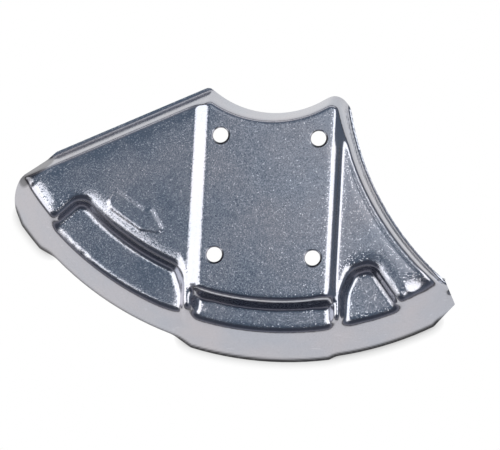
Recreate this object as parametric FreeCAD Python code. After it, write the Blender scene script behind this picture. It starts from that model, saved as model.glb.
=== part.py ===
import FreeCAD, Part
import math
import os

# Trimmer blade guard, pressed from one zinc plated steel sheet. Millimetres, +Z up.
# The origin is the middle of the bolt holes, on the upper face of the raised plate.
# The upper and the lower skin are one form, built twice, a sheet's thickness apart.
# Every round is given on the hollow side of its bend.

# Sheet and press levels
sheet = 1.5
flank_drop = 3.0
shelf_drop = 5.0
lip_drop = 8.5
rim_drop = 26.0

# Bolt holes
bolt_pitch_x = 35.0
bolt_pitch_y = 43.0
bolt_hole = 5.5

# Rim wall, a cone about the blade axis, measured at its free edge
rim_x = 4.0
rim_front = 55.5
rim_radius = 119.5
rim_draft = 25.0
rim_round = 1.5

# Hollow edge round the gear head, measured at the plate face, and the depth of its wall
gear_x = -0.5
gear_radius = 38.8
gear_margin = 2.95
gear_draft = 23.0
gear_drop = 11.1

# Straight left edge, measured at the flank
left_angle = 115.3
left_distance = 41.1
left_draft = 26.5

# Hollow right edge, an arc through two points, measured at the flank
right_top_x = 25.4
right_top_y = 30.2
right_tip_x = 61.0
right_tip_y = -27.5
right_radius = 107.5
right_draft = 11.5

# Lips and rounds along the edges of the flank
left_lip_width = 1.5
right_lip_width = 1.2
edge_round = 0.3
left_corner_round = 1.0
right_corner_round = 2.0

# Raised plate that takes the bolts, its front set back from the rim
plate_width = 46.0
plate_setback = 7.3
plate_side_draft = 51.0
plate_front_draft = 12.0
plate_round = 0.5
plate_foot_round = 2.1

# Shelves sunk along the rim, measured at their floors, their widths from the rim inwards
shelf_draft = 18.0
shelf_corner_round = 4.3
shelf_top_round = 1.5
shelf_floor_round = 2.6
left_shelf_width = 11.6
left_shelf_end_angle = 223.6
right_shelf_width = 14.8
right_shelf_length = 6.5
right_shelf_end_angle = 37.0

# Ridges left between the shelves, beside the foot of the plate
ridge_gap = 0.2
ridge_flat = 0.1

# Cuts that trim the sheet after pressing
left_trim_angle = 132.8
left_trim_distance = 63.7
left_end_angle = 202.7
left_end_distance = 86.9
left_end_round = 8.0
right_end_angle = 24.5
right_end_distance = 47.4
right_trim_angle = 314.7
right_trim_distance = 71.1
left_tip_round = 2.5
right_tip_round = 6.4

# Free edge of the rim, drawn up below the outer shelves
left_scallop_rise = 4.0
left_scallop_from = 223.0
left_scallop_to = 255.0
right_scallop_rise = 1.5
right_scallop_from = 279.0
right_scallop_to = 310.0
scallop_ramp = 60.0
scallop_round = 5.0

# Reach of the tool bodies past the sheet, and how near a point counts as touching
reach = 400.0
touch = 0.01

up = FreeCAD.Vector(0, 0, 1)
origin = FreeCAD.Vector(0, 0, 0)
flank_level = -flank_drop
shelf_level = flank_level - shelf_drop
lip_level = flank_level - lip_drop
free_level = -rim_drop
deep_level = free_level - rim_drop
rim_y = rim_radius - rim_front
gear_y = bolt_pitch_y / 2 + bolt_hole / 2 + gear_margin + gear_radius


def tangent(degrees):
    return math.tan(math.radians(degrees))


def along(x, y, angle):
    # Distance of a point along a plan direction
    return x * math.cos(math.radians(angle)) + y * math.sin(math.radians(angle))


def inset(skin, draft):
    # Level shift of a drafted wall that lies a skin's depth inside the upper skin
    return skin / math.cos(math.radians(draft))


def bend(radius, skin):
    # Radius of a skin on the outside of a bend
    return radius + sheet - skin


def arc_centre(x1, y1, x2, y2, radius):
    # Centre of an arc between two points, on the left of the way from the first to the second
    half_x = (x2 - x1) / 2
    half_y = (y2 - y1) / 2
    half = math.hypot(half_x, half_y)
    away = math.sqrt(radius ** 2 - half ** 2) / half
    return x1 + half_x - away * half_y, y1 + half_y + away * half_x


def cone(x, y, radius, level, draft, low, high):
    # Upright cone, its radius given at one level, widening downwards for a positive draft
    foot = FreeCAD.Vector(x, y, low)
    if draft == 0:
        return Part.makeCylinder(radius, high - low, foot)
    r_low = radius + (level - low) * tangent(draft)
    r_high = radius + (level - high) * tangent(draft)
    return Part.makeCone(r_low, r_high, high - low, foot)


def behind(angle, distance, level=0.0, draft=0.0):
    # All that lies behind a plane whose normal has this plan angle, widening downwards
    block = Part.makeBox(reach, 2 * reach, 2 * reach, FreeCAD.Vector(-reach, -reach, -reach))
    block.rotate(origin, FreeCAD.Vector(0, 1, 0), -draft)
    block.translate(FreeCAD.Vector(distance, 0, level))
    block.rotate(origin, up, angle)
    return block


def slab(low, high):
    return Part.makeBox(2 * reach, 2 * reach, high - low, FreeCAD.Vector(-reach, -reach, low))


def on_cone(x, y, radius, level, draft):
    # Test for points of an upright cone
    def test(point):
        out = math.hypot(point.x - x, point.y - y)
        return abs(out - radius - (level - point.z) * tangent(draft)) < touch
    return test


def on_plane(angle, distance, level, draft):
    # Test for points of a drafted plane
    def test(point):
        out = along(point.x, point.y, angle)
        return abs(out - distance - (level - point.z) * tangent(draft)) < touch
    return test


def at_level(level):
    return lambda point: abs(point.z - level) < touch


def rounded(shape, radius, *tests):
    # Round the edges whose middle passes every test, with the edges that run on smoothly from them
    edges = []
    for edge in shape.Edges:
        middle = edge.valueAt((edge.FirstParameter + edge.LastParameter) / 2)
        if all(test(middle) for test in tests):
            edges.append(edge)
    return shape.makeFillet(radius, edges)


right_x, right_y = arc_centre(right_top_x, right_top_y, right_tip_x, right_tip_y, right_radius)
shoulder_radius = rim_radius - (flank_level - free_level) * tangent(rim_draft)
plate_front_radius = shoulder_radius - plate_setback


def rim_wall(skin, low, high):
    return cone(rim_x, rim_y, rim_radius - inset(skin, rim_draft), free_level, rim_draft, low, high)


def flank_block(skin):
    # Body inside the three upright edge walls, up to the plate's level, with rounded corners
    low = lip_level - 2 * sheet
    high = -skin
    gear = (gear_x, gear_y, gear_radius + inset(skin, gear_draft), 0, -gear_draft)
    right = (right_x, right_y, right_radius + inset(skin, right_draft), flank_level, -right_draft)
    left = (left_angle, left_distance - inset(skin, left_draft), flank_level, left_draft)
    block = rim_wall(skin, low, high).common(behind(*left))
    block = block.cut(cone(*gear, low - sheet, high + sheet))
    block = block.cut(cone(*right, low - sheet, high + sheet))
    block = rounded(block, bend(left_corner_round, skin), on_plane(*left), on_cone(*gear))
    return rounded(block, bend(right_corner_round, skin), on_cone(*right), on_cone(*gear))


def shelf_tool(skin, radius, ends):
    # Tool that sinks one shelf; ends are the plan angles and distances of its end walls
    grow = inset(skin, shelf_draft)
    floor = shelf_level - skin
    back = (rim_x, rim_y, radius - grow, shelf_level, shelf_draft)
    tool = Part.makeCylinder(reach / 2, sheet - floor, FreeCAD.Vector(rim_x, rim_y, floor))
    tool = tool.common(behind(90, rim_y)).cut(cone(*back, floor - sheet, 2 * sheet))
    walls = [(angle, distance + grow, shelf_level, -shelf_draft) for angle, distance in ends]
    for wall in walls:
        tool = tool.common(behind(*wall))
    for wall in walls:
        tool = rounded(tool, shelf_corner_round + skin, on_cone(*back), on_plane(*wall))
    return rounded(tool, shelf_floor_round + skin, on_cone(*back), at_level(floor))


def shelf_tools(skin):
    outer_angle = left_shelf_end_angle - 90
    plate_foot = plate_width / 2 + flank_drop * tangent(plate_side_draft)
    plate_foot = plate_foot + plate_foot_round * tangent(45 - plate_side_draft / 2)
    ridge = plate_foot + ridge_gap
    slope = bend(shelf_top_round, 0) * tangent(45 - shelf_draft / 2) + shelf_drop * tangent(shelf_draft)
    outside = -ridge - ridge_flat / 2 - slope
    inside = ridge - ridge_flat / 2 - slope
    left_ends = [(outer_angle, along(rim_x, rim_y, outer_angle)), (0, outside)]
    middle_ends = [(180, inside), (0, inside)]
    right_radius_floor = shoulder_radius - right_shelf_width
    end_x = right_shelf_length - outside
    end_y = rim_y - math.sqrt(right_radius_floor ** 2 - (end_x - rim_x) ** 2)
    right_end = along(end_x, end_y, right_shelf_end_angle)
    right_ends = [(180, outside), (right_shelf_end_angle, right_end)]
    return [shelf_tool(skin, shoulder_radius - left_shelf_width, left_ends),
            shelf_tool(skin, plate_front_radius, middle_ends),
            shelf_tool(skin, right_radius_floor, right_ends)]


def plate_side(skin, side):
    # Section of one sloping side of the plate: a round, a slope and a foot, from the top outwards
    turn = math.radians(90 - plate_side_draft)
    top = -skin
    foot = flank_level - skin
    mid_x = plate_width / 2 - inset(skin, plate_side_draft)
    crown = bend(plate_round, skin)
    hollow = plate_foot_round + skin
    crown_x = mid_x - top * tangent(plate_side_draft) - crown * math.tan(turn / 2)
    hollow_x = mid_x - foot * tangent(plate_side_draft) + hollow * math.tan(turn / 2)
    points = []
    for angle in (0, turn / 2, turn):
        points.append((crown_x + crown * math.sin(angle), top - crown + crown * math.cos(angle)))
    for angle in (turn, turn / 2, 0):
        points.append((hollow_x - hollow * math.sin(angle), foot + hollow - hollow * math.cos(angle)))
    return [FreeCAD.Vector(side * x, -reach, z) for x, z in points]


def plate_boss(skin):
    # Raised plate: its section runs front to back, and its front follows the rim
    low = shelf_level - 2 * sheet
    right = plate_side(skin, 1)
    left = plate_side(skin, -1)
    bottom_right = FreeCAD.Vector(right[5].x, -reach, low)
    bottom_left = FreeCAD.Vector(left[5].x, -reach, low)
    edges = [Part.LineSegment(left[0], right[0]).toShape()]
    for side in (right, left):
        edges.append(Part.Arc(side[0], side[1], side[2]).toShape())
        edges.append(Part.LineSegment(side[2], side[3]).toShape())
        edges.append(Part.Arc(side[3], side[4], side[5]).toShape())
    edges.append(Part.LineSegment(right[5], bottom_right).toShape())
    edges.append(Part.LineSegment(bottom_right, bottom_left).toShape())
    edges.append(Part.LineSegment(bottom_left, left[5]).toShape())
    section = Part.Face(Part.Wire(Part.__sortEdges__(edges)))
    front = (rim_x, rim_y, plate_front_radius - inset(skin, plate_front_draft), 0, plate_front_draft)
    boss = section.extrude(FreeCAD.Vector(0, 2 * reach, 0)).common(cone(*front, low, -skin))
    return rounded(boss, bend(plate_round, skin), on_cone(*front), at_level(-skin))


def pressed_form(skin):
    # Solid that fills the pressing up to its upper skin, or up to its lower skin
    flank = flank_level - skin
    block = flank_block(skin)
    form = block.common(slab(deep_level, flank))
    for tool in shelf_tools(skin):
        form = form.cut(tool)
    rim = (rim_x, rim_y, rim_radius - inset(skin, rim_draft), free_level, rim_draft)
    gear = (gear_x, gear_y, gear_radius + inset(skin, gear_draft), 0, -gear_draft)
    right = (right_x, right_y, right_radius + inset(skin, right_draft), flank_level, -right_draft)
    left = (left_angle, left_distance - inset(skin, left_draft), flank_level, left_draft)
    outer_walls = (on_cone(*rim), on_cone(*gear), on_cone(*right), on_plane(*left))
    shelf_reach = shoulder_radius - max(left_shelf_width, right_shelf_width) - 3 * shelf_drop

    def on_shelf_edge(point):
        near_rim = math.hypot(point.x - rim_x, point.y - rim_y) > shelf_reach
        return near_rim and not any(test(point) for test in outer_walls)

    form = rounded(form, bend(shelf_top_round, skin), at_level(flank), on_shelf_edge)
    form = rounded(form, bend(rim_round, skin), at_level(flank), on_cone(*rim))
    form = form.fuse(block.common(plate_boss(skin))).removeSplitter()
    form = rounded(form, bend(edge_round, skin), at_level(-skin), on_cone(*gear))
    return form.fuse(rim_wall(skin, deep_level, lip_level - skin).common(behind(90, gear_y)))


def trim_body():
    # Upright cutting outline of the sheet, from the free edge of the rim to above the plate
    low = free_level
    high = 2 * sheet
    left_lip = left_distance + lip_drop * tangent(left_draft) + left_lip_width
    right_lip = right_radius - lip_drop * tangent(right_draft) - right_lip_width
    gear = (gear_x, gear_y, gear_radius - gear_drop * tangent(gear_draft), 0, 0)
    right = (right_x, right_y, right_lip, 0, 0)
    left = (left_angle, left_lip, 0, 0)
    left_trim = (left_trim_angle, left_trim_distance, 0, 0)
    left_end = (left_end_angle, left_end_distance, 0, 0)
    right_end = (right_end_angle, right_end_distance, 0, 0)
    right_trim = (right_trim_angle, right_trim_distance, 0, 0)
    body = slab(low, high).common(behind(90, gear_y))
    for cut in (left, left_trim, left_end, right_end, right_trim):
        body = body.common(behind(*cut))
    for hollow in (gear, right):
        body = body.cut(cone(*hollow, low - sheet, high + sheet))
    body = rounded(body, left_tip_round, on_plane(*left), on_cone(*gear))
    body = rounded(body, right_tip_round, on_cone(*right), on_cone(*gear))
    return rounded(body, left_end_round, on_plane(*left_trim), on_plane(*left_end))


def scallop_tool(rise, start, end):
    # Tool that draws up the free edge between two angles about the blade axis
    top = free_level + rise
    tool = slab(free_level - sheet, top)
    ramps = [(angle, along(rim_x, rim_y, angle), free_level, scallop_ramp) for angle in (start - 90, end + 90)]
    for ramp in ramps:
        tool = tool.common(behind(*ramp))
    for ramp in ramps:
        tool = rounded(tool, scallop_round, on_plane(*ramp), at_level(top))
    return tool


def bolt_holes():
    holes = []
    for x in (-bolt_pitch_x / 2, bolt_pitch_x / 2):
        for y in (-bolt_pitch_y / 2, bolt_pitch_y / 2):
            holes.append(Part.makeCylinder(bolt_hole / 2, 4 * sheet, FreeCAD.Vector(x, y, -3 * sheet)))
    return holes


def blade_guard():
    guard = pressed_form(0).cut(pressed_form(sheet)).common(trim_body())
    guard = guard.cut(scallop_tool(left_scallop_rise, left_scallop_from, left_scallop_to))
    guard = guard.cut(scallop_tool(right_scallop_rise, right_scallop_from, right_scallop_to))
    for hole in bolt_holes():
        guard = guard.cut(hole)
    return guard.removeSplitter()


os.makedirs("parts", exist_ok=True)
guard = blade_guard()
guard.Solids[0].exportStep("parts/blade_guard.step")
print("blade_guard", len(guard.Solids), "solid,", round(guard.Volume), "mm3, valid", guard.isValid())
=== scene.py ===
import math

import bpy
import numpy as np
from mathutils import Matrix, Vector
from mathutils.bvhtree import BVHTree
from mathutils.kdtree import KDTree


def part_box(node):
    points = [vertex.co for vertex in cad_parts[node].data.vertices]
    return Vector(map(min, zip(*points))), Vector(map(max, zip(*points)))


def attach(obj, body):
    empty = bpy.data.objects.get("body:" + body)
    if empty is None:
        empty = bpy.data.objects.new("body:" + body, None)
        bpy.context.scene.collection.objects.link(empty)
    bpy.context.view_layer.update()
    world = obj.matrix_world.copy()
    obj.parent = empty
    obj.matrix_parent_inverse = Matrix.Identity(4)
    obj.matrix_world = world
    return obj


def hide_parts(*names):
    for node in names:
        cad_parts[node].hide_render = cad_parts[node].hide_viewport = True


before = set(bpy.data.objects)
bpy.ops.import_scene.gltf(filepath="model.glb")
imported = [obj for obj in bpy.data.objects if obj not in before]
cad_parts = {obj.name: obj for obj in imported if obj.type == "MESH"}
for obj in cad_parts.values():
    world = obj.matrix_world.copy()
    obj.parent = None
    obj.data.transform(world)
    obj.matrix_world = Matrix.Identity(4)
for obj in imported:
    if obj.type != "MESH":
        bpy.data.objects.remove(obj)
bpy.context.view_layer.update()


def selectOnly(obj):
    # every operator works on the selection, so start from nothing
    bpy.ops.object.select_all(action="DESELECT")
    obj.select_set(True)
    bpy.context.view_layer.objects.active = obj


# sheet: the CAD sheet's upper skin drawn again on a fine net, its bends as soft as a press leaves them

sheetLook = {
    "net": 0.0005,
    "margin": 0.004,
    "rayTop": 0.1,
    "skinSlope": 0.05,
    "halvings": 12,
    "thickness": 0.0015,
    "footTouch": 1e-6,
    "sharpAngle": 50.0,
    # bends
    "crispRadius": 0.00045,
    "rollRadius": 0.0007,
    "softRadius": 0.0020,
    "softSag": 0.0003,
    "bellReach": 3.5,
    "fitFloor": 1e-6,
    "fade": 0.002,
    # places: x, y and reach of the rolled spots, and left, right, front and back of the crisp ridges
    "rollSpots": [(-0.0235, -0.0375, 0.006), (0.0235, -0.0375, 0.006)],
    "ridges": [(-0.0330, -0.0240, -0.0500, -0.0310), (0.0240, 0.0330, -0.0500, -0.0330)],
    "flankLevel": -0.003,
    "plateHalf": 0.0285,
    "plateFront": -0.0425,
    "edgeKeep": 0.0065,
    "edgeShares": (0.9, 1.0),
    # droop of the right corner
    "cornerStart": 0.0500,
    "cornerFade": 0.0005,
    "cornerSlope": 0.27,
    "cornerRows": (-0.0310, -0.0230),
    "cornerLevels": (-0.024, -0.003),
    # painted shade: dark cut edges
    "rimShadeReach": (0.0005, 0.0012),
    "rimShadeLevels": (-0.0225, -0.0205),
    "tip": [(-0.0873, 0.0040), (-0.0802, 0.0114)],
    "tipReach": (0.00192, 0.0032),
    "tipShade": 0.7,
}

# places across the sheet that are drawn, and those on the CAD sheet that they take their height from,
# in millimetres: the ridges between the shelves and the plate's right wall drop steeply to a soft foot
reshapeLook = {
    "leftPocket": [(-37.0, -37.0), (-32.3, -33.4), (-29.2, -31.8), (-27.9, -28.6), (-27.4, -27.4)],
    "leftPocketRows": (-46.0, -42.0, -36.0, -25.0),
    "shelfEnds": [(-27.4, -27.4), (-25.6, -26.6), (-24.4, -24.4), (-20.0, -21.2), (-14.0, -14.0),
                  (14.0, 14.0), (19.0, 20.5), (24.3, 23.6), (25.3, 25.6), (26.3, 26.3)],
    "shelfEndsRows": (-47.0, -43.5, -38.5, -35.5),
    "rightPocket": [(26.3, 26.3), (27.5, 28.8), (28.6, 31.0), (31.5, 33.2), (39.0, 39.0)],
    "rightPocketRows": (-46.0, -42.0, -34.0, -26.0),
    "rightWall": [(20.0, 20.0), (21.8, 22.6), (24.9, 24.4), (25.4, 26.0), (27.9, 27.4), (30.0, 30.0)],
    "rightWallRows": (-36.0, -33.0, 18.0, 23.0),
}

# bolt holes, punched through the plate, with the small roll that the punch leaves
holeLook = {
    "pitchX": 0.035,
    "pitchY": 0.043,
    "diameter": 0.0055,
    "roll": 0.00025,
    "depth": 0.006,
    "cover": 0.001,
    "sides": 72,
    "capSlope": 0.9,
}

# arrow that shows the way the blade turns, pressed into the long flank, outline in millimetres
arrowLook = {
    "outline": [(-54.0, 0.8), (-43.5, -6.0), (-40.9, -5.5), (-36.6, -12.6), (-38.4, -14.0),
                (-44.6, -13.2), (-56.1, -5.8), (-56.6, -3.1), (-55.1, -0.7)],
    "rise": 0.00028,
    "edge": 0.00045,
}


def upperSkin():
    # search tree of the CAD faces that look upwards
    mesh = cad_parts["blade_guard"].data
    corners = [vertex.co.copy() for vertex in mesh.vertices]
    slope = sheetLook["skinSlope"]
    faces = [tuple(face.vertices) for face in mesh.polygons if face.normal.z > slope]
    return BVHTree.FromPolygons(corners, faces)


def heightAt(tree, x, y):
    hit = tree.ray_cast((x, y, sheetLook["rayTop"]), (0.0, 0.0, -1.0))[0]
    return None if hit is None else hit.z


def holePlaces():
    sides = (-0.5, 0.5)
    return [(holeLook["pitchX"] * a, holeLook["pitchY"] * b) for a in sides for b in sides]


def smoothStep(values, low, high):
    share = np.clip((values - low) / (high - low), 0.0, 1.0)
    return share * share * (3.0 - 2.0 * share)


def takenShift(xs, ys, piece):
    # how far to the side of each knot its height is taken, fading in and out along the rows
    drawn, taken = np.array(reshapeLook[piece]).T / 1000.0
    shift = np.interp(xs, drawn, taken) - xs
    shift[(xs < drawn[0]) | (xs > drawn[-1])] = 0.0
    start, full, last, end = np.array(reshapeLook[piece + "Rows"]) / 1000.0
    share = smoothStep(ys, start, full) * (1.0 - smoothStep(ys, last, end))
    return np.outer(shift, share)


def sampleNet(tree, xs, ys):
    # heights of the skin at the knots of the net, and which knots lie on it; the holes are filled
    heights = np.zeros((len(xs), len(ys)))
    mask = np.zeros((len(xs), len(ys)))
    pieces = [piece for piece in reshapeLook if not piece.endswith("Rows")]
    shifts = sum(takenShift(xs, ys, piece) for piece in pieces)
    for i, x in enumerate(xs):
        for j, y in enumerate(ys):
            z = heightAt(tree, x, y)
            if z is not None:
                taken = heightAt(tree, x + shifts[i, j], y)
                heights[i, j] = z if taken is None else taken
                mask[i, j] = 1.0
    x, y = np.meshgrid(xs, ys, indexing="ij")
    for holeX, holeY in holePlaces():
        near = np.hypot(x - holeX, y - holeY) < holeLook["diameter"] / 2 + holeLook["cover"]
        heights[near] = 0.0
        mask[near] = 1.0
    return heights, mask


def blurWith(field, kernel):
    shape = [field.shape[k] + kernel.shape[k] - 1 for k in (0, 1)]
    product = np.fft.irfft2(np.fft.rfft2(field, shape) * np.fft.rfft2(kernel, shape), shape)
    start = [kernel.shape[k] // 2 for k in (0, 1)]
    return product[start[0]:start[0] + field.shape[0], start[1]:start[1] + field.shape[1]]


def softenField(heights, mask, radius):
    # around each knot of the net, the plane that fits its surroundings best: height and two slopes
    reach = int(math.ceil(sheetLook["bellReach"] * radius / sheetLook["net"]))
    x, y = np.mgrid[-reach:reach + 1, -reach:reach + 1] * sheetLook["net"] / radius
    bell = np.exp(-(x * x + y * y) / 2.0)
    kernels = {"1": bell, "x": -x * bell, "y": -y * bell,
               "xx": x * x * bell, "xy": x * y * bell, "yy": y * y * bell}
    sums = {name: blurWith(mask, kernel) for name, kernel in kernels.items()}
    values = [blurWith(mask * heights, kernels[name]) for name in ("1", "x", "y")]
    matrix = np.empty(heights.shape + (3, 3))
    for row, names in enumerate((("1", "x", "y"), ("x", "xx", "xy"), ("y", "xy", "yy"))):
        for column, name in enumerate(names):
            matrix[..., row, column] = sums[name]
    matrix += np.eye(3) * sheetLook["fitFloor"]
    fit = np.linalg.solve(matrix, np.stack(values, axis=-1)[..., None])[..., 0]
    return fit[..., 0], fit[..., 1] / radius, fit[..., 2] / radius


def windowShare(x, y, window):
    # 1 inside a box in plan, fading to 0 across its sides
    left, right, front, back = window
    half = sheetLook["fade"] / 2
    across = smoothStep(x - left, -half, half) * (1.0 - smoothStep(x - right, -half, half))
    along = smoothStep(y - front, -half, half) * (1.0 - smoothStep(y - back, -half, half))
    return across * along


def fromLine(x, y, start, end):
    # how far each place lies from a straight line between two points
    (ax, ay), (bx, by) = start, end
    run = ((x - ax) * (bx - ax) + (y - ay) * (by - ay)) / ((bx - ax) ** 2 + (by - ay) ** 2)
    run = np.clip(run, 0.0, 1.0)
    return np.hypot(x - ax - run * (bx - ax), y - ay - run * (by - ay))


def arrowDepth(x, y):
    # how far each knot lies inside the arrow's outline, negative outside
    points = [(px / 1000.0, py / 1000.0) for px, py in arrowLook["outline"]]
    nearest = np.full(x.shape, 1.0)
    inside = np.zeros(x.shape, bool)
    for start, end in zip(points, points[1:] + points[:1]):
        nearest = np.minimum(nearest, fromLine(x, y, start, end))
        (ax, ay), (bx, by) = start, end
        if ay != by:
            crossed = (ay > y) != (by > y)
            inside ^= crossed & (x < ax + (y - ay) * (bx - ax) / (by - ay))
    return np.where(inside, nearest, -nearest)


def insideShare(mask):
    # 1 well inside the sheet, 0 along its cut edges
    reach = int(round(sheetLook["edgeKeep"] / sheetLook["net"]))
    x, y = np.mgrid[-reach:reach + 1, -reach:reach + 1]
    disc = (np.hypot(x, y) <= reach).astype(float)
    return smoothStep(blurWith(mask, disc) / disc.sum(), *sheetLook["edgeShares"])


def cornerDroop(x, y, height):
    # how far the right corner of the flank hangs, fading out down the rim
    fade = sheetLook["cornerFade"]
    run = np.logaddexp(0.0, (x - sheetLook["cornerStart"]) / fade) * fade
    rows = 1.0 - smoothStep(y, *sheetLook["cornerRows"])
    return run * sheetLook["cornerSlope"] * rows * smoothStep(height, *sheetLook["cornerLevels"])


def pressField(heights, mask, xs, ys):
    # crisp bends on the plate, crowns that sag softly outside it, and the arrow
    height, slopeX, slopeY = softenField(heights, mask, sheetLook["crispRadius"])
    rolled = softenField(heights, mask, sheetLook["rollRadius"])[0]
    soft = softenField(heights, mask, sheetLook["softRadius"])[0]
    x, y = np.meshgrid(xs, ys, indexing="ij")
    fade = sheetLook["fade"]
    upper = smoothStep(height - sheetLook["flankLevel"], -fade, 0.0)
    for spotX, spotY, reach in sheetLook["rollSpots"]:
        roll = 1.0 - smoothStep(np.hypot(x - spotX, y - spotY), reach / 2, reach)
        height = height + roll * (rolled - height)
    height = height - cornerDroop(x, y, height)
    beside = smoothStep(np.abs(x) - sheetLook["plateHalf"], -fade, fade)
    before = smoothStep(sheetLook["plateFront"] - y, -fade, fade)
    share = np.maximum(beside, before) * insideShare(mask) * upper
    for window in sheetLook["ridges"]:
        share = share * (1.0 - windowShare(x, y, window))
    most = sheetLook["softSag"]
    sag = most * np.tanh(np.maximum(height - soft, 0.0) / most)
    edge = arrowLook["edge"]
    arrow = arrowLook["rise"] * smoothStep(arrowDepth(x, y), -edge, edge)
    return height - share * sag + arrow, slopeX, slopeY


def edgeShare(tree, inside, outside):
    # how far along a net line, from its inner to its outer knot, the sheet ends
    low, high = 0.0, 1.0
    for step in range(sheetLook["halvings"]):
        middle = (low + high) / 2
        x = inside[0] + (outside[0] - inside[0]) * middle
        y = inside[1] + (outside[1] - inside[1]) * middle
        if heightAt(tree, x, y) is None:
            high = middle
        else:
            low = middle
    return (low + high) / 2


def snapNet(tree, xs, ys, mask):
    # the knot nearest to the sheet's edge on each net line that crosses it moves onto the edge
    moves = {}
    for di, dj in ((1, 0), (0, 1)):
        ahead = mask[di:, dj:] - mask[:mask.shape[0] - di, :mask.shape[1] - dj]
        for i, j in zip(*np.nonzero(ahead)):
            first, second = (i, j), (i + di, j + dj)
            inner, outer = (second, first) if ahead[i, j] > 0 else (first, second)
            start = (xs[inner[0]], ys[inner[1]])
            end = (xs[outer[0]], ys[outer[1]])
            share = edgeShare(tree, start, end)
            knot, run = (inner, share) if share < 0.5 else (outer, 1.0 - share)
            place = tuple(a + (b - a) * share for a, b in zip(start, end))
            if knot not in moves or run < moves[knot][0]:
                moves[knot] = (run, place)
    return {knot: place for knot, (run, place) in moves.items()}


def cutShade(corners, edge):
    # painted shade: dark along the cut rim low on the wall, where the metal mirrors the shadow beside
    # it, and on the sheared end of the left lip, which faces the dim room
    edgeTree = KDTree(len(edge))
    for number, (x, y) in enumerate(edge):
        edgeTree.insert((x, y, 0.0), number)
    edgeTree.balance()
    away = np.array([edgeTree.find((x, y, 0.0))[2] for x, y, z in corners])
    x, y, z = np.array(corners).T
    rim = 1.0 - smoothStep(away, *sheetLook["rimShadeReach"])
    rim = rim * (1.0 - smoothStep(z, *sheetLook["rimShadeLevels"]))
    tip = 1.0 - smoothStep(fromLine(x, y, *sheetLook["tip"]), *sheetLook["tipReach"])
    return np.maximum(rim, sheetLook["tipShade"] * tip)


def drawSheet():
    tree = upperSkin()
    low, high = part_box("blade_guard")
    net, margin = sheetLook["net"], sheetLook["margin"]
    xs = np.arange(low.x - margin, high.x + margin, net)
    ys = np.arange(low.y - margin, high.y + margin, net)
    heights, mask = sampleNet(tree, xs, ys)
    field, slopeX, slopeY = pressField(heights, mask, xs, ys)
    moves = snapNet(tree, xs, ys, mask)
    index = {}
    corners = []
    for i, x in enumerate(xs):
        for j, y in enumerate(ys):
            if mask[i, j] == 0.0 and (i, j) not in moves:
                continue
            px, py = moves.get((i, j), (x, y))
            pz = field[i, j] + slopeX[i, j] * (px - x) + slopeY[i, j] * (py - y)
            index[(i, j)] = len(corners)
            corners.append((px, py, min(max(pz, low.z), high.z)))
    faces = []
    for i in range(len(xs) - 1):
        for j in range(len(ys) - 1):
            cell = [(i, j), (i + 1, j), (i + 1, j + 1), (i, j + 1)]
            face = [index[knot] for knot in cell if knot in index]
            if len(face) > 2:
                faces.append(face)
    mesh = bpy.data.meshes.new("guardSheet")
    mesh.from_pydata(corners, [], faces)
    # painted shade along the cut rim and the end of the left lip, kept on each corner
    shade = mesh.attributes.new("cutEdgeShade", "FLOAT", "POINT")
    shade.data.foreach_set("value", cutShade(corners, list(moves.values())))
    return mesh


def punchHoles(sheet):
    radius = holeLook["diameter"] / 2
    roll = holeLook["roll"]
    depth = holeLook["depth"]
    grow = (radius + 2 * roll) / radius
    for x, y in holePlaces():
        bpy.ops.object.select_all(action="DESELECT")
        bpy.ops.mesh.primitive_cylinder_add(vertices=holeLook["sides"], radius=radius, depth=depth,
                                            location=(x, y, -depth / 2 - roll))
        punch = bpy.context.object
        bpy.ops.object.transform_apply(location=True)
        bpy.ops.object.mode_set(mode="EDIT")
        bpy.ops.mesh.select_all(action="DESELECT")
        bpy.ops.object.mode_set(mode="OBJECT")
        for face in punch.data.polygons:
            face.select = face.normal.z > holeLook["capSlope"]
        # the top of the punch flares, and leaves the roll
        bpy.ops.object.mode_set(mode="EDIT")
        bpy.ops.mesh.extrude_region_move(TRANSFORM_OT_translate={"value": (0, 0, 2 * roll)})
        bpy.ops.transform.resize(value=(grow, grow, 1), center_override=(x, y, 0))
        bpy.ops.object.mode_set(mode="OBJECT")
        selectOnly(sheet)
        cut = sheet.modifiers.new("punch", "BOOLEAN")
        cut.operation = "DIFFERENCE"
        cut.solver = "EXACT"
        cut.object = punch
        bpy.ops.object.modifier_apply(modifier=cut.name)
        bpy.data.objects.remove(punch)
    print("bolt holes:", len(holePlaces()))


def makeSheet():
    sheet = bpy.data.objects.new("guardSheet", drawSheet())
    bpy.context.scene.collection.objects.link(sheet)
    selectOnly(sheet)
    wall = sheet.modifiers.new("wall", "SOLIDIFY")
    wall.thickness = sheetLook["thickness"]
    wall.offset = -1.0
    wall.use_even_offset = True
    bpy.ops.object.modifier_apply(modifier=wall.name)
    # the free edge ends flat, at the foot of the CAD sheet
    low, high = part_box("blade_guard")
    bpy.ops.object.mode_set(mode="EDIT")
    bpy.ops.mesh.select_all(action="SELECT")
    bpy.ops.mesh.bisect(plane_co=(0, 0, low.z), plane_no=(0, 0, 1), use_fill=True, clear_inner=True,
                        threshold=sheetLook["footTouch"])
    bpy.ops.object.mode_set(mode="OBJECT")
    punchHoles(sheet)
    selectOnly(sheet)
    bpy.ops.object.shade_smooth_by_angle(angle=math.radians(sheetLook["sharpAngle"]))
    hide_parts("blade_guard")
    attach(sheet, "root")
    print("sheet:", len(sheet.data.polygons), "faces")
    return sheet


# zinc plating: cool grey with paler clouds, fine crystal grain, bright flakes and a few scratches

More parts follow.
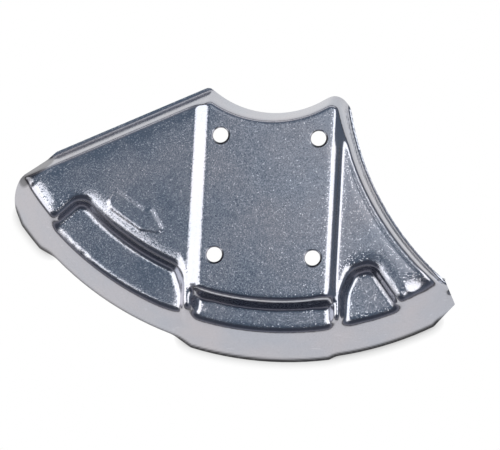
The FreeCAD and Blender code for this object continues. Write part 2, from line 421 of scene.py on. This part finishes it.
zincLook = {
    "cool": (0.44, 0.455, 0.505, 1.0),
    "warm": (0.50, 0.485, 0.515, 1.0),
    "clouds": 45.0,
    "cloudDetail": 3.0,
    "cloudRange": (0.35, 0.65),
    "grain": 2300.0,
    "grainDetail": 2.0,
    "grainRange": (0.3, 0.7),
    "grainDepth": 0.06,
    "grainTilt": 0.08,
    "grainBump": 0.000010,
    "specks": 3600.0,
    "speckShare": 0.87,
    "speckTilt": 0.31,
    "flatness": (0.90, 0.985),
    "waves": 110.0,
    "waveDetail": 1.0,
    "waveBump": 0.000045,
    "roughness": (0.13, 0.25),
    "roughRange": (0.12, 0.40),
    "scratches": (40.0, 2200.0, 400.0),
    "scratchTurn": 62.0,
    "scratchDetail": 1.0,
    "scratchRange": (0.70, 0.76),
    "scratchGain": 0.12,
    "holeShade": (0.00054, 0.0009),
    "holeShadeSide": (-0.2, 0.8),
    "holeShadeDepth": 0.9,
    "cutShade": 0.92,
}


def makeZinc():
    zinc = bpy.data.materials.new("zincPlating")
    zinc.use_nodes = True
    nodes = zinc.node_tree.nodes
    links = zinc.node_tree.links
    shader = nodes["Principled BSDF"]
    shader.inputs["Metallic"].default_value = 1.0
    place = nodes.new("ShaderNodeTexCoord").outputs["Object"]

    def noise(scale, detail, source=place):
        texture = nodes.new("ShaderNodeTexNoise")
        texture.inputs["Scale"].default_value = scale
        texture.inputs["Detail"].default_value = detail
        links.new(source, texture.inputs["Vector"])
        return texture.outputs["Fac"]

    def spread(source, fromMin, fromMax, toMin=0.0, toMax=1.0):
        node = nodes.new("ShaderNodeMapRange")
        node.inputs["From Min"].default_value = fromMin
        node.inputs["From Max"].default_value = fromMax
        node.inputs["To Min"].default_value = toMin
        node.inputs["To Max"].default_value = toMax
        links.new(source, node.inputs["Value"])
        return node.outputs["Result"]

    def combine(operation, first, second=0.0):
        node = nodes.new("ShaderNodeMath")
        node.operation = operation
        for socket, value in zip(node.inputs, (first, second)):
            if isinstance(value, float):
                socket.default_value = value
            else:
                links.new(value, socket)
        return node.outputs[0]

    def vector(operation, first, second=None):
        node = nodes.new("ShaderNodeVectorMath")
        node.operation = operation
        links.new(first, node.inputs[0])
        if isinstance(second, tuple):
            node.inputs[1].default_value = second
        elif second is not None:
            links.new(second, node.inputs["Scale" if operation == "SCALE" else 1])
        return node.outputs["Vector"]

    def split(source):
        node = nodes.new("ShaderNodeSeparateXYZ")
        links.new(source, node.inputs[0])
        return node.outputs

    def bump(height, distance, normal):
        node = nodes.new("ShaderNodeBump")
        node.inputs["Distance"].default_value = distance
        links.new(height, node.inputs["Height"])
        links.new(normal, node.inputs["Normal"])
        return node.outputs["Normal"]

    clouds = noise(zincLook["clouds"], zincLook["cloudDetail"])
    grain = noise(zincLook["grain"], zincLook["grainDetail"])
    waves = noise(zincLook["waves"], zincLook["waveDetail"])

    # every crystal leans a little, and a few lean far enough to catch the light
    cells = nodes.new("ShaderNodeTexVoronoi")
    cells.inputs["Scale"].default_value = zincLook["specks"]
    links.new(place, cells.inputs["Vector"])
    draw = nodes.new("ShaderNodeSeparateColor")
    links.new(cells.outputs["Color"], draw.inputs["Color"])
    chosen = combine("GREATER_THAN", draw.outputs["Red"], zincLook["speckShare"])
    tilt = combine("MULTIPLY", chosen, zincLook["speckTilt"])
    tilt = combine("ADD", tilt, zincLook["grainTilt"])
    # the press burnishes the steep walls, so the crystals stay on the flats
    facing = nodes.new("ShaderNodeNewGeometry").outputs["Normal"]
    upright = combine("ABSOLUTE", split(facing)["Z"])
    tilt = combine("MULTIPLY", tilt, spread(upright, *zincLook["flatness"]))
    lean = vector("SUBTRACT", cells.outputs["Color"], (0.5, 0.5, 0.5))
    crystal = vector("NORMALIZE", vector("ADD", facing, vector("SCALE", lean, tilt)))

    # handling scratches, long and thin
    turn = nodes.new("ShaderNodeMapping")
    turn.inputs["Rotation"].default_value = (0.0, 0.0, math.radians(zincLook["scratchTurn"]))
    turn.inputs["Scale"].default_value = zincLook["scratches"]
    links.new(place, turn.inputs["Vector"])
    scratch = noise(1.0, zincLook["scratchDetail"], turn.outputs["Vector"])
    scratch = spread(scratch, *zincLook["scratchRange"])

    metal = nodes.new("ShaderNodeMix")
    metal.data_type = "RGBA"
    links.new(spread(clouds, *zincLook["cloudRange"]), metal.inputs["Factor"])
    metal.inputs[6].default_value = zincLook["cool"]
    metal.inputs[7].default_value = zincLook["warm"]
    depth = zincLook["grainDepth"]
    gain = spread(grain, *zincLook["grainRange"], 1.0 - depth, 1.0 + depth)
    gain = combine("ADD", gain, combine("MULTIPLY", scratch, zincLook["scratchGain"]))

    # painted shade: dark on one side of each punched hole and along the cut rim, where the metal
    # mirrors shade
    axes = split(place)
    fromHole = []
    for axis, pitch in (("X", holeLook["pitchX"]), ("Y", holeLook["pitchY"])):
        nearest = combine("MULTIPLY", combine("SIGN", axes[axis]), pitch / 2)
        fromHole.append(combine("SUBTRACT", axes[axis], nearest))
    aside, ahead = fromHole
    away = combine("ADD", combine("MULTIPLY", aside, aside), combine("MULTIPLY", ahead, ahead))
    away = combine("SQRT", away)
    radius = holeLook["diameter"] / 2
    holeShadeStart, holeShadeEnd = zincLook["holeShade"]
    holeShade = spread(away, radius + holeShadeStart, radius + holeShadeEnd, 1.0, 0.0)
    side = combine("DIVIDE", combine("SUBTRACT", aside, ahead), away)
    side = spread(side, *zincLook["holeShadeSide"], 0.0, zincLook["holeShadeDepth"])
    # painted shade along the cut rim, read from the sheet's corners
    cutEdgeShade = nodes.new("ShaderNodeAttribute")
    cutEdgeShade.attribute_name = "cutEdgeShade"
    cut = combine("MULTIPLY", cutEdgeShade.outputs["Fac"], zincLook["cutShade"])
    # painted shade from the holes and the cut rim darkens the base colour
    paintedShade = combine("MAXIMUM", combine("MULTIPLY", holeShade, side), cut)
    gain = combine("MULTIPLY", gain, combine("SUBTRACT", 1.0, paintedShade))
    links.new(vector("SCALE", metal.outputs[2], gain), shader.inputs["Base Color"])

    rough = combine("MULTIPLY", grain, clouds)
    rough = spread(rough, *zincLook["roughRange"], *zincLook["roughness"])
    links.new(rough, shader.inputs["Roughness"])
    normal = bump(grain, zincLook["grainBump"], crystal)
    normal = bump(waves, zincLook["waveBump"], normal)
    links.new(normal, shader.inputs["Normal"])
    print("zinc: clouds, grain, flakes, scratches")
    return zinc


# studio: a white table, soft boxes at the sides and a dim room

studio = {
    "floorSize": 4.0,
    "floorLevel": -0.0262,
    "floorGlow": (0.125, 0.17),
    "floorFar": 0.10,
    "paper": (0.9, 0.9, 0.9, 1.0),
    "shadowReach": 0.0035,
    "roomDark": (0.065, 0.075, 0.10, 1.0),
    "backWall": (0.30, 0.31, 0.35, 1.0),
    "backRange": (0.2, 0.8),
    "sideWall": (0.15, 0.18, 0.23, 1.0),
    "sideRange": (0.3, 0.8),
    "leftWall": (0.28, 0.30, 0.34, 1.0),
    "leftRange": (-0.6, -0.95),
    "frontWall": (0.30, 0.30, 0.35, 1.0),
    "frontRange": (-0.2, -0.6),
    "frontHeight": (0.50, 0.0),
    "ceiling": (0.15, 0.20, 0.265, 1.0),
    "ceilingRange": (0.72, 0.98),
    "ceilingLean": 0.3,
}

# name, place, aim, width, height, radiance
softBoxes = [
    ("leftBox", (-0.60, 0.16, 0.45), (0.0, 0.16, 0.45), 0.34, 1.10, 1.95),
    ("leftFrontBox", (-0.60, -0.17, 0.58), (0.0, -0.17, 0.58), 0.32, 0.84, 1.95),
    ("highBox", (-0.38, -0.05, 0.75), (0.0, -0.05, 0.0), 0.30, 0.25, 2.0),
    ("rightBox", (0.50, 0.05, 0.75), (0.0, 0.05, 0.0), 0.80, 0.45, 2.2),
    ("topBox", (0.11, 0.20, 0.60), (0.11, 0.20, 0.0), 0.38, 0.30, 0.50),
    ("backBox", (0.0, 1.0, 0.20), (0.0, 0.0, 0.0), 1.20, 0.26, 1.0),
]


def makeFloor():
    bpy.ops.object.select_all(action="DESELECT")
    bpy.ops.mesh.primitive_plane_add(size=studio["floorSize"], location=(0, 0, studio["floorLevel"]))
    floor = bpy.context.object
    floor.name = "floor"
    floor.data.materials.append(makePaper())
    print("floor at", studio["floorLevel"])


def makePaper():
    # white to the eye, with the shade under the part; the metal sees it fade away from the part
    paper = bpy.data.materials.new("whitePaper")
    paper.use_nodes = True
    nodes = paper.node_tree.nodes
    links = paper.node_tree.links
    out = nodes["Material Output"]
    nodes.remove(nodes["Principled BSDF"])
    diffuse = nodes.new("ShaderNodeBsdfDiffuse")
    diffuse.inputs["Color"].default_value = studio["paper"]
    shade = nodes.new("ShaderNodeAmbientOcclusion")
    shade.inputs["Distance"].default_value = studio["shadowReach"]
    eyeGlow = nodes.new("ShaderNodeEmission")
    links.new(shade.outputs["Color"], eyeGlow.inputs["Color"])
    place = nodes.new("ShaderNodeTexCoord")
    away = nodes.new("ShaderNodeVectorMath")
    away.operation = "LENGTH"
    links.new(place.outputs["Object"], away.inputs[0])
    fade = nodes.new("ShaderNodeMapRange")
    fade.interpolation_type = "SMOOTHSTEP"
    links.new(away.outputs["Value"], fade.inputs["Value"])
    fade.inputs["From Min"].default_value = studio["floorGlow"][0]
    fade.inputs["From Max"].default_value = studio["floorGlow"][1]
    fade.inputs["To Min"].default_value = 1.0
    fade.inputs["To Max"].default_value = studio["floorFar"]
    metalGlow = nodes.new("ShaderNodeEmission")
    links.new(shade.outputs["Color"], metalGlow.inputs["Color"])
    links.new(fade.outputs[0], metalGlow.inputs["Strength"])
    path = nodes.new("ShaderNodeLightPath")
    through = nodes.new("ShaderNodeMath")
    through.operation = "MAXIMUM"
    links.new(path.outputs["Is Glossy Ray"], through.inputs[0])
    links.new(path.outputs["Is Transmission Ray"], through.inputs[1])
    mirrored = nodes.new("ShaderNodeMixShader")
    links.new(through.outputs[0], mirrored.inputs[0])
    links.new(diffuse.outputs[0], mirrored.inputs[1])
    links.new(metalGlow.outputs[0], mirrored.inputs[2])
    seen = nodes.new("ShaderNodeMixShader")
    links.new(path.outputs["Is Camera Ray"], seen.inputs[0])
    links.new(mirrored.outputs[0], seen.inputs[1])
    links.new(eyeGlow.outputs[0], seen.inputs[2])
    links.new(seen.outputs[0], out.inputs["Surface"])
    return paper


def makeRoom():
    world = bpy.data.worlds.new("room")
    bpy.context.scene.world = world
    world.use_nodes = True
    nodes = world.node_tree.nodes
    links = world.node_tree.links

    def combine(operation, *values):
        node = nodes.new("ShaderNodeMath")
        node.operation = operation
        for socket, value in zip(node.inputs, values):
            if isinstance(value, float):
                socket.default_value = value
            else:
                links.new(value, socket)
        return node.outputs[0]

    def fade(source, start, end):
        node = nodes.new("ShaderNodeMapRange")
        node.interpolation_type = "SMOOTHSTEP"
        links.new(source, node.inputs["Value"])
        node.inputs["From Min"].default_value = start
        node.inputs["From Max"].default_value = end
        return node.outputs[0]

    def paint(under, colour, share):
        node = nodes.new("ShaderNodeMix")
        node.data_type = "RGBA"
        links.new(share, node.inputs["Factor"])
        if isinstance(under, tuple):
            node.inputs[6].default_value = under
        else:
            links.new(under, node.inputs[6])
        node.inputs[7].default_value = colour
        return node.outputs[2]

    axes = nodes.new("ShaderNodeSeparateXYZ")
    links.new(nodes.new("ShaderNodeTexCoord").outputs["Generated"], axes.inputs[0])
    x, y, z = axes.outputs
    tone = paint(studio["roomDark"], studio["backWall"], fade(y, *studio["backRange"]))
    tone = paint(tone, studio["sideWall"], fade(x, *studio["sideRange"]))
    tone = paint(tone, studio["leftWall"], fade(x, *studio["leftRange"]))
    # only the foot of the front wall is pale
    front = combine("MULTIPLY", fade(z, *studio["frontHeight"]), fade(y, *studio["frontRange"]))
    tone = paint(tone, studio["frontWall"], front)
    # the ceiling leans a little towards the back
    lean = combine("MULTIPLY_ADD", y, studio["ceilingLean"], z)
    tone = paint(tone, studio["ceiling"], fade(lean, *studio["ceilingRange"]))
    back = nodes["Background"]
    links.new(tone, back.inputs["Color"])
    back.inputs["Strength"].default_value = 1.0
    print("room: dim front, pale ceiling")


def makeSoftBoxes():
    for name, place, aim, width, height, radiance in softBoxes:
        lamp = bpy.data.lights.new(name, "AREA")
        lamp.shape = "RECTANGLE"
        lamp.size = width
        lamp.size_y = height
        lamp.energy = radiance * math.pi * width * height
        holder = bpy.data.objects.new(name, lamp)
        bpy.context.scene.collection.objects.link(holder)
        holder.location = place
        ahead = Vector(aim) - Vector(place)
        holder.rotation_euler = ahead.to_track_quat("-Z", "Y").to_euler()
    print("soft boxes:", len(softBoxes))


# camera: nearly straight down, long lens

cameraView = {
    "tilt": 11.0,
    "turn": 34.0,
    "roll": 2.5,
    "distance": 3.0,
    "frameWidth": 0.1773,
    "right": -0.00576,
    "up": -0.01025,
    "sensor": 36.0,
    "clipEnd": 20.0,
}


def makeCamera():
    tilt = math.radians(cameraView["tilt"])
    turn = math.radians(cameraView["turn"])
    roll = math.radians(cameraView["roll"])
    aside, ahead = math.sin(tilt) * math.sin(turn), -math.sin(tilt) * math.cos(turn)
    toCamera = Vector((aside, ahead, math.cos(tilt)))
    lean = Vector((0, 0, 1)).rotation_difference(toCamera)
    flatRight = lean @ Vector((1, 0, 0))
    flatUp = lean @ Vector((0, 1, 0))
    right = flatRight * math.cos(roll) + flatUp * math.sin(roll)
    up = flatUp * math.cos(roll) - flatRight * math.sin(roll)
    aim = right * cameraView["right"] + up * cameraView["up"]
    camera = bpy.data.cameras.new("camera")
    camera.sensor_width = cameraView["sensor"]
    camera.lens = camera.sensor_width * cameraView["distance"] / cameraView["frameWidth"]
    camera.clip_end = cameraView["clipEnd"]
    holder = bpy.data.objects.new("camera", camera)
    bpy.context.scene.collection.objects.link(holder)
    axes = Matrix((right, up, toCamera)).transposed().to_4x4()
    holder.matrix_world = Matrix.Translation(aim + toCamera * cameraView["distance"]) @ axes
    bpy.context.scene.camera = holder
    print("camera lens", round(camera.lens))


sheet = makeSheet()
zinc = makeZinc()
sheet.data.materials.clear()
sheet.data.materials.append(zinc)
makeFloor()
makeRoom()
makeSoftBoxes()
makeCamera()
bpy.context.scene.view_settings.view_transform = "Standard"
